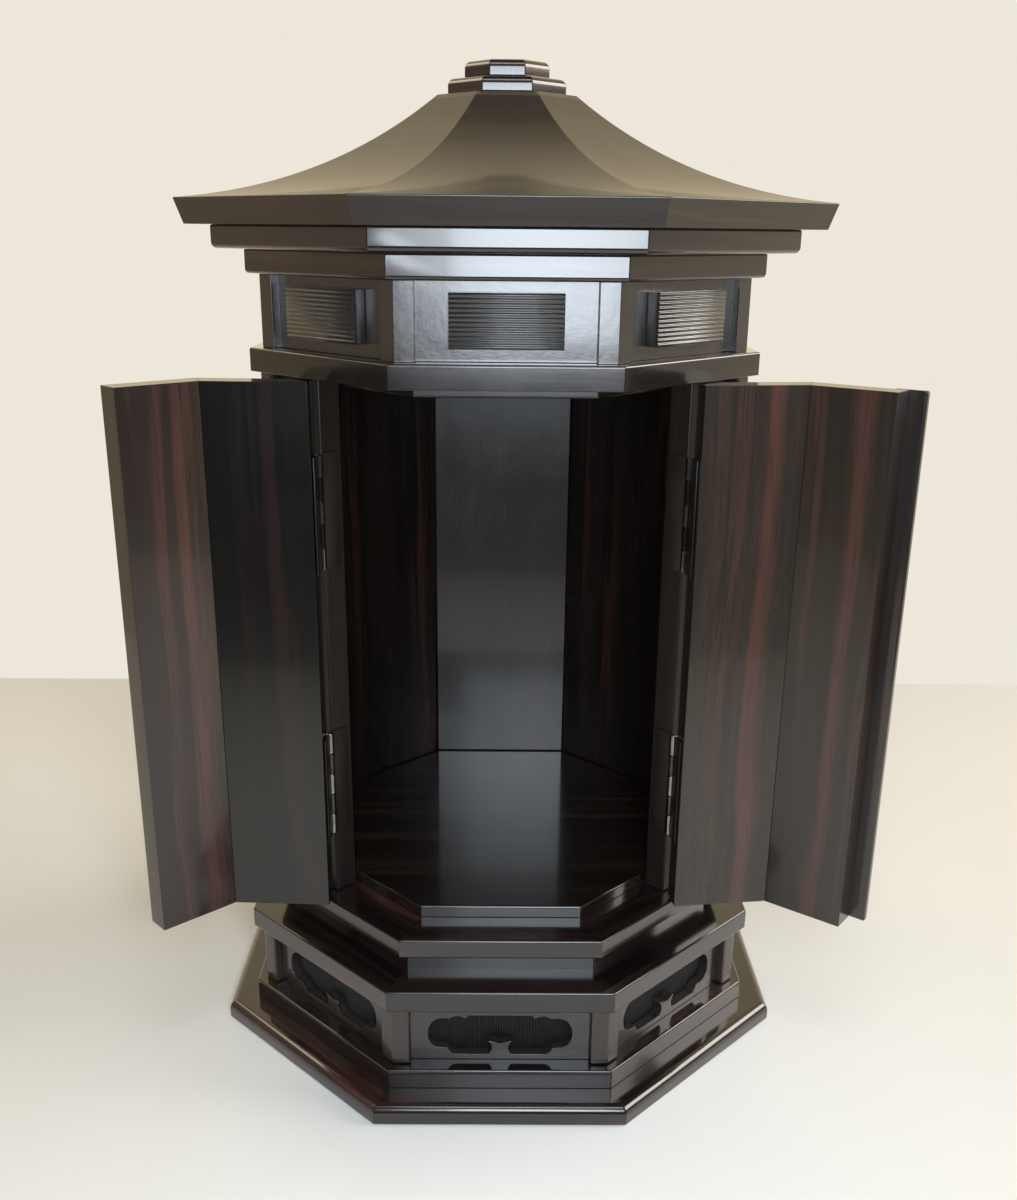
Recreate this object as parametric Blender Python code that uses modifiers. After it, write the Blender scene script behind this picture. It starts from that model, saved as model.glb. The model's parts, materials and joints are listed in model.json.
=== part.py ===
"""Eight-sided household altar cabinet: plinth, body with two hinged doors, frieze and curved roof.

Metres, +Z up. The front faces -Y and the origin is at the middle of the underside.
Every board of the octagon is sized by its apothem, the distance from the axis to a flat side.
"""
import math

import bmesh
import bpy
from mathutils import Vector

# The octagon
SIDES = 8
SIDE_ANGLE = 2 * math.pi / SIDES
EDGE = math.tan(SIDE_ANGLE / 2)
CORNER = 1 / math.cos(SIDE_ANGLE / 2)
SIDE_NAMES = ("front", "front_right", "right", "back_right", "back", "back_left", "left", "front_left")
FRONT, FRONT_RIGHT, RIGHT, BACK_RIGHT, BACK, BACK_LEFT, LEFT, FRONT_LEFT = range(SIDES)

# Fits
GAP = 0.0003
WELD = 0.00001
ARRIS = 0.0006
ARC_STEPS = 4

# Body: clear inside, board thickness and the posts that cover the corners
INSIDE_APOTHEM = 0.091
BODY_HEIGHT = 0.244
BOARD = 0.0115
BODY_POST_PROUD = 0.004
POST_FACE = 0.008
STEP_SETBACK = 0.001
FLOOR_THICKNESS = 0.0055
CEILING_THICKNESS = 0.005

# Boards above and below the body
SILL_OVERHANG = 0.004
SILL_HEIGHT = 0.0095
NECK_INSET = 0.0068
NECK_HEIGHT = 0.009
CORNICE_HEIGHT = 0.010
FRIEZE_INSET = 0.0055
FRIEZE_HEIGHT = 0.0305
FRIEZE_RECESS = 0.004
FRIEZE_WALL = 0.012
FRIEZE_CAP_HEIGHT = 0.010
EAVE_BOARD_STEP = 0.0125
EAVE_BOARD_HEIGHT = 0.0095
EAVE_BOARD_ROUND = 0.0025
BOARD_EASE = 0.0010

# Ribbed blocks on the frieze
BLOCK_WIDTH = 0.0445
BLOCK_FOOT_MARGIN = 0.0050
BLOCK_HEAD_MARGIN = 0.0042
BLOCK_BACK = 0.0051
RIB_COUNT = 12
RIB_STEPS = 4

# Plinth
RAIL_STEP = 0.013
RAIL_HEIGHT = 0.0105
WAIST_INSET = 0.0045
WAIST_HEIGHT = 0.031
WAIST_RECESS = 0.004
PANEL_THICKNESS = 0.005
BACKING_THICKNESS = 0.006
BASE_STEP_HEIGHT = 0.0095
BASE_PLATE_STEP = 0.014
BASE_PLATE_HEIGHT = 0.0095
BASE_PLATE_ROUND = 0.0045

# Cloud-shaped openings in the plinth panels
CLOUD_SIDE_MARGIN = 0.008
CLOUD_TOP_MARGIN = 0.0075
CLOUD_FOOT_MARGIN = 0.0027

# Roof and finial
EAVE_STEP = 0.0133
EAVE_HEIGHT = 0.010
EAVE_UNDERCUT = 0.0035
ROOF_RISE = 0.0435
ROOF_SAG = 0.0088
ROOF_STEPS = 14
NECK_OF_ROOF = 0.030
FINIAL_LOWER_APOTHEM = 0.0255
FINIAL_LOWER_HEIGHT = 0.0067
FINIAL_UPPER_APOTHEM = 0.0183
FINIAL_UPPER_HEIGHT = 0.0068
FINIAL_ROUND = 0.0031

# Doors: the jamb is this far behind the middle of a front oblique side
JAMB_SETBACK = 0.0089
DOOR_END_CLEARANCE = 0.0008
DOOR_MEETING_GAP = 0.0010
ASTRAGAL_LAP = 0.007
ASTRAGAL_THICKNESS = 0.0035
LEFT_DOOR_OPEN = math.radians(137.4)
RIGHT_DOOR_OPEN = math.radians(142.0)

# Butt hinges
HINGE_LENGTH = 0.051
HINGE_INSET = 0.057
HINGE_LEAF = 0.00065
HINGE_LEAF_DEPTH = 0.0085
HINGE_LEAF_PLAY = 0.0003
KNUCKLE_RADIUS = 0.0016
KNUCKLE_STANDOFF = 0.0002
KNUCKLE_COUNT = 5
KNUCKLE_PLAY = 0.0003
PIN_RADIUS = 0.0007
PIN_PLAY = 0.00025
ROUND_STEPS = 12

# Apothems that follow from the body
WALL_APOTHEM = INSIDE_APOTHEM + BOARD
BODY_POST_APOTHEM = WALL_APOTHEM + BODY_POST_PROUD
SILL_APOTHEM = BODY_POST_APOTHEM + SILL_OVERHANG
STEP_APOTHEM = INSIDE_APOTHEM - STEP_SETBACK
NECK_APOTHEM = SILL_APOTHEM - NECK_INSET
RAIL_APOTHEM = SILL_APOTHEM + RAIL_STEP
WAIST_APOTHEM = RAIL_APOTHEM - WAIST_INSET
PANEL_APOTHEM = WAIST_APOTHEM - WAIST_RECESS
PANEL_BACK = PANEL_APOTHEM - PANEL_THICKNESS
BASE_PLATE_APOTHEM = RAIL_APOTHEM + BASE_PLATE_STEP
FRIEZE_APOTHEM = SILL_APOTHEM - FRIEZE_INSET
FRIEZE_PANEL_APOTHEM = FRIEZE_APOTHEM - FRIEZE_RECESS
EAVE_BOARD_APOTHEM = SILL_APOTHEM + EAVE_BOARD_STEP
EAVE_APOTHEM = EAVE_BOARD_APOTHEM + EAVE_STEP

# Levels, from the ground up
STEP_LEVEL = BASE_PLATE_HEIGHT
WAIST_LEVEL = STEP_LEVEL + BASE_STEP_HEIGHT
RAIL_LEVEL = WAIST_LEVEL + WAIST_HEIGHT
NECK_LEVEL = RAIL_LEVEL + RAIL_HEIGHT
SILL_LEVEL = NECK_LEVEL + NECK_HEIGHT
BODY_LEVEL = SILL_LEVEL + SILL_HEIGHT
CORNICE_LEVEL = BODY_LEVEL + BODY_HEIGHT
FRIEZE_LEVEL = CORNICE_LEVEL + CORNICE_HEIGHT
FRIEZE_CAP_LEVEL = FRIEZE_LEVEL + FRIEZE_HEIGHT
EAVE_BOARD_LEVEL = FRIEZE_CAP_LEVEL + FRIEZE_CAP_HEIGHT
EAVE_LEVEL = EAVE_BOARD_LEVEL + EAVE_BOARD_HEIGHT
ROOF_LEVEL = EAVE_LEVEL + EAVE_HEIGHT
FINIAL_LEVEL = ROOF_LEVEL + ROOF_RISE
FINIAL_UPPER_LEVEL = FINIAL_LEVEL + FINIAL_LOWER_HEIGHT
TOP_LEVEL = FINIAL_UPPER_LEVEL + FINIAL_UPPER_HEIGHT

# Doors and hinge lines that follow from the body
HINGE_ROOM = 2 * (GAP + HINGE_LEAF) + HINGE_LEAF_PLAY
DOOR_EDGE = -JAMB_SETBACK + HINGE_ROOM
PIN_APOTHEM = WALL_APOTHEM + KNUCKLE_RADIUS + KNUCKLE_STANDOFF
PIN_SETBACK = -JAMB_SETBACK + HINGE_ROOM / 2
DOOR_BOTTOM = BODY_LEVEL + DOOR_END_CLEARANCE
DOOR_TOP = CORNICE_LEVEL - DOOR_END_CLEARANCE


def clear_scene():
    """Start from an empty file."""
    for item in list(bpy.data.objects):
        bpy.data.objects.remove(item, do_unlink=True)


def new_collection(name):
    """A collection linked to the scene."""
    group = bpy.data.collections.new(name)
    bpy.context.scene.collection.children.link(group)
    return group


def new_material(name, colour, roughness, metallic=0.0):
    """A plain Principled finish."""
    finish = bpy.data.materials.new(name)
    finish.use_nodes = True
    shader = finish.node_tree.nodes["Principled BSDF"]
    shader.inputs["Base Color"].default_value = (*colour, 1)
    shader.inputs["Roughness"].default_value = roughness
    shader.inputs["Metallic"].default_value = metallic
    finish.diffuse_color = (*colour, 1)
    return finish


def plan(side, apothem, along):
    """A point in plan, given from one flat side of the octagon: out from the axis, then along the side."""
    angle = -math.pi / 2 + side * SIDE_ANGLE
    outward = Vector((math.cos(angle), math.sin(angle)))
    sideways = Vector((-outward.y, outward.x))
    return outward * apothem + sideways * along


def arc(centre, radius, start, end, steps=ARC_STEPS):
    """Points round an arc, its angles in degrees."""
    angles = [math.radians(start + (end - start) * i / steps) for i in range(steps + 1)]
    return [(centre[0] + radius * math.cos(a), centre[1] + radius * math.sin(a)) for a in angles]


def bow(start, end, rise, steps=ARC_STEPS):
    """Points of a curve that leaves the straight line on its right by a share of its length, without the end."""
    across = Vector((end[0] - start[0], end[1] - start[1]))
    right = Vector((across.y, -across.x))
    points = []
    for i in range(steps):
        share = i / steps
        point = Vector(start) + across * share + right * rise * 4 * share * (1 - share)
        points.append((point.x, point.y))
    return points


def place(mesh, name, finish, group, location=(0, 0, 0), turn=(0, 0, 0), parent=None):
    """Put a mesh in the scene as a named piece."""
    piece = bpy.data.objects.new(name, mesh)
    piece.data.materials.clear()
    piece.data.materials.append(finish)
    piece.location = location
    piece.rotation_euler = turn
    piece.parent = parent
    group.objects.link(piece)
    return piece


def ease_edges(piece, width=ARRIS):
    """Take the sharp arris off a board."""
    bevel = piece.modifiers.new("arris", "BEVEL")
    bevel.width = width
    bevel.segments = 1
    bevel.limit_method = "ANGLE"
    bevel.angle_limit = math.radians(30)
    return piece


def flat_mesh(name, outlines, thickness):
    """A flat outline, the further ones its holes, made a solid that is centred on its own plane."""
    curve = bpy.data.curves.new(name, "CURVE")
    curve.dimensions = "2D"
    curve.fill_mode = "BOTH"
    curve.extrude = thickness / 2
    for outline in outlines:
        spline = curve.splines.new("POLY")
        spline.points.add(len(outline) - 1)
        spline.use_cyclic_u = True
        for point, (x, y) in zip(spline.points, outline):
            point.co = (x, y, 0, 1)
    source = bpy.data.objects.new(name, curve)
    bpy.context.scene.collection.objects.link(source)
    mesh = bpy.data.meshes.new_from_object(source.evaluated_get(bpy.context.evaluated_depsgraph_get()))
    bpy.data.objects.remove(source)
    bpy.data.curves.remove(curve)
    cage = bmesh.new()
    cage.from_mesh(mesh)
    bmesh.ops.remove_doubles(cage, verts=cage.verts, dist=WELD)
    bmesh.ops.dissolve_limit(cage, angle_limit=math.radians(1), verts=cage.verts, edges=cage.edges)
    cage.to_mesh(mesh)
    cage.free()
    mesh.name = name
    return mesh


def upright(name, outlines, bottom, top, finish, group, pivot=None):
    """An upright piece from its outline in plan; on a door it is drawn from the pivot."""
    origin = Vector((0, 0)) if pivot is None else Vector(pivot.location[:2])
    shifted = [[Vector(point) - origin for point in outline] for outline in outlines]
    mesh = flat_mesh(name, shifted, top - bottom)
    return place(mesh, name, finish, group, (0, 0, (top + bottom) / 2), parent=pivot)


def octagon_board(name, profile, finish, group):
    """A solid turned in eight steps from its outer profile, top to bottom, in apothem and height."""
    closed = [(0, profile[0][1])] + profile + [(0, profile[-1][1])]
    mesh = bpy.data.meshes.new(name)
    points = [(apothem * CORNER, 0, height) for apothem, height in closed]
    mesh.from_pydata(points, [(i, i + 1) for i in range(len(points) - 1)], [])
    piece = place(mesh, name, finish, group, turn=(0, 0, SIDE_ANGLE / 2))
    screw = piece.modifiers.new("eight_sides", "SCREW")
    screw.angle = 2 * math.pi
    screw.steps = SIDES
    screw.render_steps = SIDES
    screw.use_merge_vertices = True
    screw.merge_threshold = WELD
    screw.use_smooth_shade = False
    return piece


def eased_side(apothem, bottom, top, top_round=BOARD_EASE, bottom_round=BOARD_EASE):
    """The side of a board with its upper and lower edges rounded."""
    upper = arc((apothem - top_round, top - top_round), top_round, 90, 0)
    lower = arc((apothem - bottom_round, bottom + bottom_round), bottom_round, 0, -90)
    return upper + lower


def post_outline(corner, face, step, back):
    """Plan of a post over the corner after a side: two narrow faces, cut in where the boards butt."""
    following = corner + 1
    face_end = face * EDGE - POST_FACE
    return [plan(corner, face, face * EDGE), plan(following, face, -face_end), plan(following, step, -face_end),
            plan(corner, back, back * EDGE), plan(corner, step, face_end), plan(corner, face, face_end)]


def build_base(finish, group):
    """The two boards that the plinth stands on."""
    plate = eased_side(BASE_PLATE_APOTHEM, 0, STEP_LEVEL - GAP, top_round=BASE_PLATE_ROUND)
    octagon_board("base_plate", plate, finish, group)
    step = eased_side(RAIL_APOTHEM, STEP_LEVEL, WAIST_LEVEL - GAP)
    octagon_board("base_step", step, finish, group)


def cloud_outline(half_width, foot, head):
    """The cloud-shaped opening, drawn as its right half and mirrored."""
    height = head - foot
    corners = [((0.0, 0.28), -0.06), ((0.17, 0.34), 0.22), ((0.16, 0.0), 0.0), ((0.57, 0.0), 0.2),
               ((0.73, 0.17), 0.3), ((1.0, 0.62), 0.26), ((0.71, 0.91), 0.2), ((0.49, 0.92), -0.2),
               ((0.45, 1.0), 0.0), ((0.0, 1.0), 0.0)]
    places = [(x * half_width, foot + y * height) for (x, y), rise in corners]
    right = []
    for i in range(len(corners) - 1):
        rise = corners[i][1]
        right += bow(places[i], places[i + 1], rise, steps=ARC_STEPS if rise else 1)
    right.append(places[-1])
    left = [(-x, y) for x, y in reversed(right[1:-1])]
    return right + left


def build_waist(post_finish, panel_finish, backing_finish, group):
    """Posts at the eight corners of the plinth, panels between them and a drum behind the openings."""
    bottom = WAIST_LEVEL
    top = RAIL_LEVEL - GAP
    half = WAIST_APOTHEM * EDGE - POST_FACE - GAP
    for side in range(SIDES):
        following = SIDE_NAMES[(side + 1) % SIDES]
        outline = post_outline(side, WAIST_APOTHEM, PANEL_BACK, PANEL_BACK)
        name = f"plinth_post_{SIDE_NAMES[side]}_to_{following}"
        ease_edges(upright(name, [outline], bottom, top, post_finish, group))
    cloud = cloud_outline(half - CLOUD_SIDE_MARGIN, bottom + CLOUD_FOOT_MARGIN, top - CLOUD_TOP_MARGIN)
    for side in range(SIDES):
        frame = [(-half, bottom), (half, bottom), (half, top), (-half, top)]
        pierced = side not in (BACK_LEFT, BACK, BACK_RIGHT)
        name = f"plinth_panel_{SIDE_NAMES[side]}"
        mesh = flat_mesh(name, [frame, cloud] if pierced else [frame], PANEL_THICKNESS)
        centre = plan(side, PANEL_BACK + PANEL_THICKNESS / 2, 0)
        place(mesh, name, panel_finish, group, (*centre, 0), (math.pi / 2, 0, side * SIDE_ANGLE))
    outer = PANEL_BACK - GAP
    inner = outer - BACKING_THICKNESS
    rings = [[plan(side, a, a * EDGE) for side in range(SIDES)] for a in (outer, inner)]
    upright("plinth_backing", rings, bottom, top, backing_finish, group)


def build_sill(finish, group):
    """The rail over the plinth, and the sill board with its recessed neck."""
    rail = eased_side(RAIL_APOTHEM, RAIL_LEVEL, NECK_LEVEL - GAP)
    octagon_board("plinth_rail", rail, finish, group)
    sill = eased_side(SILL_APOTHEM, SILL_LEVEL, BODY_LEVEL - GAP)
    neck = [(NECK_APOTHEM, SILL_LEVEL), (NECK_APOTHEM, NECK_LEVEL)]
    octagon_board("sill_board", sill + neck, finish, group)


def build_body(wall_finish, post_finish, group):
    """Floor, ceiling, five walls, the fixed strips beside the doors and four corner posts."""
    bottom = BODY_LEVEL
    top = CORNICE_LEVEL - GAP
    floor = eased_side(STEP_APOTHEM, bottom, bottom + FLOOR_THICKNESS)
    inner_half = INSIDE_APOTHEM * EDGE
    post_half = BODY_POST_APOTHEM * EDGE - POST_FACE
    mitre_half = WALL_APOTHEM * EDGE
    octagon_board("floor_board", floor, wall_finish, group)
    ceiling = eased_side(STEP_APOTHEM, top - CEILING_THICKNESS, top)
    octagon_board("ceiling_board", ceiling, wall_finish, group)
    for corner in (FRONT_RIGHT, RIGHT, BACK_LEFT, LEFT):
        outline = post_outline(corner, BODY_POST_APOTHEM, WALL_APOTHEM, INSIDE_APOTHEM)
        name = f"body_post_{SIDE_NAMES[corner]}_to_{SIDE_NAMES[corner + 1]}"
        ease_edges(upright(name, [outline], bottom, top, post_finish, group))
    ends = {RIGHT: (post_half, post_half), BACK_RIGHT: (post_half, mitre_half), BACK: (mitre_half, mitre_half),
            BACK_LEFT: (mitre_half, post_half), LEFT: (post_half, post_half)}
    for side, (near, far) in ends.items():
        outline = [plan(side, WALL_APOTHEM, GAP - near), plan(side, WALL_APOTHEM, far - GAP),
                   plan(side, INSIDE_APOTHEM, inner_half - GAP), plan(side, INSIDE_APOTHEM, GAP - inner_half)]
        name = f"wall_{SIDE_NAMES[side]}"
        ease_edges(upright(name, [outline], bottom, top, wall_finish, group))
    for hand, name in ((-1, "door_jamb_left"), (1, "door_jamb_right")):
        outline = [(WALL_APOTHEM, GAP - post_half), (WALL_APOTHEM, -JAMB_SETBACK),
                   (INSIDE_APOTHEM, -JAMB_SETBACK), (INSIDE_APOTHEM, GAP - inner_half)]
        points = [oblique(hand, apothem, along) for apothem, along in outline]
        ease_edges(upright(name, [points], bottom, top, wall_finish, group))


def oblique(hand, apothem, along):
    """A point on a front oblique side, along it towards the front; hand is -1 left and 1 right."""
    point = plan(FRONT_LEFT, apothem, along)
    return Vector((-hand * point.x, point.y))


def build_frieze(board_finish, frieze_finish, block_finish, group):
    """Cornice board, frieze with its posts and ribbed blocks, and the board over it."""
    cornice = eased_side(SILL_APOTHEM, CORNICE_LEVEL, FRIEZE_LEVEL - GAP)
    octagon_board("cornice_board", cornice, board_finish, group)
    bottom = FRIEZE_LEVEL
    top = FRIEZE_CAP_LEVEL - GAP
    half = FRIEZE_APOTHEM * EDGE
    step = half - POST_FACE
    inner = FRIEZE_PANEL_APOTHEM - FRIEZE_WALL
    outline = []
    for side in range(SIDES):
        outline += [plan(side, FRIEZE_APOTHEM, -step), plan(side, FRIEZE_PANEL_APOTHEM, -step),
                    plan(side, FRIEZE_PANEL_APOTHEM, step), plan(side, FRIEZE_APOTHEM, step),
                    plan(side, FRIEZE_APOTHEM, half)]
    hollow = [plan(side, inner, inner * EDGE) for side in range(SIDES)]
    upright("frieze", [outline, hollow], bottom, top, frieze_finish, group)
    for side in (LEFT, FRONT_LEFT, FRONT, FRONT_RIGHT, RIGHT):
        ribbed_block(side, bottom + BLOCK_FOOT_MARGIN, top - BLOCK_HEAD_MARGIN, block_finish, group)
    cap = eased_side(SILL_APOTHEM, FRIEZE_CAP_LEVEL, EAVE_BOARD_LEVEL - GAP)
    octagon_board("frieze_cap", cap, board_finish, group)


def ribbed_block(side, bottom, top, finish, group):
    """A small block on a frieze panel, its face cut into level half-round ribs."""
    radius = (top - bottom) / RIB_COUNT / 2
    section = [(0, 0)]
    for rib in range(RIB_COUNT):
        centre = (BLOCK_BACK, (2 * rib + 1) * radius)
        section += arc(centre, radius, -90, 90, RIB_STEPS)[:-1]
    section += [(BLOCK_BACK, top - bottom), (0, top - bottom)]
    name = f"ribbed_block_{SIDE_NAMES[side]}"
    mesh = flat_mesh(name, [section], BLOCK_WIDTH)
    seat = plan(side, FRIEZE_PANEL_APOTHEM + GAP, 0)
    place(mesh, name, finish, group, (*seat, bottom), (math.pi / 2, 0, side * SIDE_ANGLE - math.pi / 2))


def roof_curve():
    """The hollow curve of the roof, from its neck down to the eave edge."""
    start = Vector((NECK_OF_ROOF, FINIAL_LEVEL - GAP))
    end = Vector((EAVE_APOTHEM, ROOF_LEVEL))
    span = (end - start).length
    return bow(start, end, ROOF_SAG / span, ROOF_STEPS) + [tuple(end)]


def build_roof(board_finish, roof_finish, group):
    """The eave board, the hollow roof with its undercut edge, and the two steps of the finial."""
    eave_board = eased_side(EAVE_BOARD_APOTHEM, EAVE_BOARD_LEVEL, EAVE_LEVEL - GAP, bottom_round=EAVE_BOARD_ROUND)
    octagon_board("eave_board", eave_board, board_finish, group)
    edge = [(EAVE_APOTHEM - EAVE_UNDERCUT, EAVE_LEVEL)]
    octagon_board("roof", roof_curve() + edge, roof_finish, group)
    lower = eased_side(FINIAL_LOWER_APOTHEM, FINIAL_LEVEL, FINIAL_UPPER_LEVEL - GAP, top_round=FINIAL_ROUND)
    octagon_board("finial_lower", lower, board_finish, group)
    upper = eased_side(FINIAL_UPPER_APOTHEM, FINIAL_UPPER_LEVEL, TOP_LEVEL, top_round=FINIAL_ROUND)
    octagon_board("finial_upper", upper, board_finish, group)


def build_door(hand, word, opening, finish, group):
    """Two boards that meet at the corner of the octagon, hung on a pivot and swung open."""
    pivot = bpy.data.objects.new(f"{word}_door_pivot", None)
    pivot.location = (*oblique(hand, PIN_APOTHEM, PIN_SETBACK), 0)
    pivot.rotation_euler = (0, 0, hand * opening)
    group.objects.link(pivot)
    mitre_gap = GAP / 2 * CORNER
    inner = [oblique(hand, INSIDE_APOTHEM, DOOR_EDGE), oblique(hand, WALL_APOTHEM, DOOR_EDGE),
             oblique(hand, WALL_APOTHEM, WALL_APOTHEM * EDGE - mitre_gap),
             oblique(hand, INSIDE_APOTHEM, INSIDE_APOTHEM * EDGE - mitre_gap)]
    meeting = DOOR_MEETING_GAP / 2
    outer = [plan(FRONT, INSIDE_APOTHEM, hand * (INSIDE_APOTHEM * EDGE - mitre_gap)),
             plan(FRONT, WALL_APOTHEM, hand * (WALL_APOTHEM * EDGE - mitre_gap)),
             plan(FRONT, WALL_APOTHEM, hand * meeting), plan(FRONT, INSIDE_APOTHEM, hand * meeting)]
    for outline, part in ((inner, "hinge_board"), (outer, "meeting_board")):
        name = f"{word}_door_{part}"
        ease_edges(upright(name, [outline], DOOR_BOTTOM, DOOR_TOP, finish, group, pivot))
    return pivot


def build_astragal(pivot, finish, group):
    """The strip on the right door that covers the meeting line."""
    inner = WALL_APOTHEM + GAP
    outer = inner + ASTRAGAL_THICKNESS
    outline = [plan(FRONT, inner, -ASTRAGAL_LAP), plan(FRONT, outer, -ASTRAGAL_LAP),
               plan(FRONT, outer, ASTRAGAL_LAP), plan(FRONT, inner, ASTRAGAL_LAP)]
    ease_edges(upright("right_door_astragal", [outline], DOOR_BOTTOM, DOOR_TOP, finish, group, pivot))


def cylinder(name, radius, bottom, top, centre, group):
    """A round tool or core standing at a place in plan."""
    bpy.ops.mesh.primitive_cylinder_add(vertices=ROUND_STEPS, radius=radius, depth=top - bottom,
                                        location=(*centre, (top + bottom) / 2))
    piece = bpy.context.object
    piece.name = name
    for owner in list(piece.users_collection):
        owner.objects.unlink(piece)
    group.objects.link(piece)
    piece.hide_render = True
    piece.display_type = "WIRE"
    return piece


def combine(piece, tool, operation):
    """Join or cut a piece with a tool."""
    change = piece.modifiers.new(tool.name, "BOOLEAN")
    change.operation = operation
    change.object = tool


def knuckle_rows(centre, first):
    """Bottom and top of every second knuckle of a hinge, from the first one given."""
    height = HINGE_LENGTH / KNUCKLE_COUNT
    foot = centre - HINGE_LENGTH / 2
    rows = range(first, KNUCKLE_COUNT, 2)
    return [(foot + row * height + KNUCKLE_PLAY / 2, foot + (row + 1) * height - KNUCKLE_PLAY / 2) for row in rows]


def build_hinge_leaf(name, hand, centre, on_door, pivot, finish, group, tools):
    """One leaf of a butt hinge with its knuckles; the frame's leaf carries the pin."""
    pin = oblique(hand, PIN_APOTHEM, PIN_SETBACK)
    parent = pivot if on_door else None
    origin = pin if on_door else Vector((0, 0))
    face = DOOR_EDGE - GAP if on_door else -JAMB_SETBACK + GAP
    inner = face - HINGE_LEAF if on_door else face + HINGE_LEAF
    plate = [oblique(hand, WALL_APOTHEM - HINGE_LEAF_DEPTH, face), oblique(hand, PIN_APOTHEM, face),
             oblique(hand, PIN_APOTHEM, inner), oblique(hand, WALL_APOTHEM - HINGE_LEAF_DEPTH, inner)]
    leaf = upright(name, [plate], centre - HINGE_LENGTH / 2, centre + HINGE_LENGTH / 2, finish, group, parent)
    kept = knuckle_rows(centre, 1 if on_door else 0)
    cleared = knuckle_rows(centre, 0 if on_door else 1)
    for number, (bottom, top) in enumerate(cleared):
        room = (bottom - KNUCKLE_PLAY, top + KNUCKLE_PLAY)
        notch = cylinder(f"{name}_notch_{number}", KNUCKLE_RADIUS + KNUCKLE_PLAY, *room, pin - origin, tools)
        notch.parent = parent
        combine(leaf, notch, "DIFFERENCE")
    for number, (bottom, top) in enumerate(kept):
        knuckle = cylinder(f"{name}_knuckle_{number}", KNUCKLE_RADIUS, bottom, top, pin - origin, tools)
        knuckle.parent = parent
        combine(leaf, knuckle, "UNION")
    ends = (centre - HINGE_LENGTH / 2 + KNUCKLE_PLAY, centre + HINGE_LENGTH / 2 - KNUCKLE_PLAY)
    radius = PIN_RADIUS + PIN_PLAY if on_door else PIN_RADIUS
    core = cylinder(f"{name}_pin", radius, *ends, pin - origin, tools)
    core.parent = parent
    combine(leaf, core, "DIFFERENCE" if on_door else "UNION")


def build_hinges(pivots, finish, group, tools):
    """Two butt hinges on each door."""
    heights = {"lower": DOOR_BOTTOM + HINGE_INSET, "upper": DOOR_TOP - HINGE_INSET}
    for hand, word in ((-1, "left"), (1, "right")):
        for place_word, centre in heights.items():
            for on_door, part in ((False, "frame_leaf"), (True, "door_leaf")):
                name = f"{word}_{place_word}_hinge_{part}"
                build_hinge_leaf(name, hand, centre, on_door, pivots[word], finish, group, tools)


def build_cabinet():
    """Make every piece."""
    clear_scene()
    group = new_collection("altar_cabinet")
    tools = new_collection("cutters")
    moulding = new_material("lacquered_moulding", (0.035, 0.024, 0.022), 0.22)
    panel = new_material("lacquered_panel", (0.03, 0.022, 0.02), 0.3)
    post = new_material("lacquered_post", (0.04, 0.027, 0.023), 0.28)
    wall = new_material("ebony_wall", (0.028, 0.018, 0.015), 0.3)
    door = new_material("ebony_door", (0.05, 0.03, 0.024), 0.3)
    roof = new_material("ebony_roof", (0.04, 0.028, 0.022), 0.3)
    reeded = new_material("dark_backing", (0.012, 0.01, 0.01), 0.45)
    steel = new_material("hinge_steel", (0.55, 0.53, 0.5), 0.3, 1.0)
    build_base(moulding, group)
    build_waist(post, panel, reeded, group)
    build_sill(moulding, group)
    build_body(wall, post, group)
    build_frieze(moulding, panel, reeded, group)
    build_roof(moulding, roof, group)
    pivots = {"left": build_door(-1, "left", LEFT_DOOR_OPEN, door, group),
              "right": build_door(1, "right", RIGHT_DOOR_OPEN, door, group)}
    build_astragal(pivots["right"], door, group)
    build_hinges(pivots, steel, group, tools)


build_cabinet()
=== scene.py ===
"""Finish, floor, light and camera for the eight-sided altar cabinet.

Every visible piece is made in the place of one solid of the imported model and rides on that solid's body.
"""
import json
import math

import bmesh
import bpy
from mathutils import Matrix, Vector


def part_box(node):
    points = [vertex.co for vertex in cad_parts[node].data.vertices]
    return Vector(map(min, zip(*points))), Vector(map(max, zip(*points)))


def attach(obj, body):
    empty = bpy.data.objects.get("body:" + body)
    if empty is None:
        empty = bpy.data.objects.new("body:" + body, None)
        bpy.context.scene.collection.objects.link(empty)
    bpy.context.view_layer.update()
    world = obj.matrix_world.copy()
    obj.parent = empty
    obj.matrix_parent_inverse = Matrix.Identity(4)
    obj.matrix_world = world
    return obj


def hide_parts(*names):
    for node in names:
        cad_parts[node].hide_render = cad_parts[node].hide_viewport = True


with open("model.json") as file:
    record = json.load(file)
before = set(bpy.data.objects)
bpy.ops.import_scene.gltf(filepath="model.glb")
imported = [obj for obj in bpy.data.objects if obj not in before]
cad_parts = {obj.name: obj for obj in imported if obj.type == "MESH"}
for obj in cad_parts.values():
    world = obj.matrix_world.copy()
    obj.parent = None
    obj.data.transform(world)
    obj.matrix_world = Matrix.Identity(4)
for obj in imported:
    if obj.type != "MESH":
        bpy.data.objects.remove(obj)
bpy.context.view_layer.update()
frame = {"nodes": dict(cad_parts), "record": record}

# The octagon; its sides are numbered from the front one, anticlockwise from above. Pierced sides have a
# cloud-shaped opening in the plinth, walled ones a wall, and a body post follows each posted side.
SIDE_ANGLE = math.pi / 4
EDGE = math.tan(SIDE_ANGLE / 2)
CORNER = 1 / math.cos(SIDE_ANGLE / 2)
SIDE_NAMES = ("front", "front_right", "right", "back_right", "back", "back_left", "left", "front_left")
FRONT_LEFT = 7
FRONT_RIGHT = 1
PIERCED = (0, 1, 2, 6, 7)
WALLED = (2, 3, 4, 5, 6)
POSTED = (1, 2, 5, 6)

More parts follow.
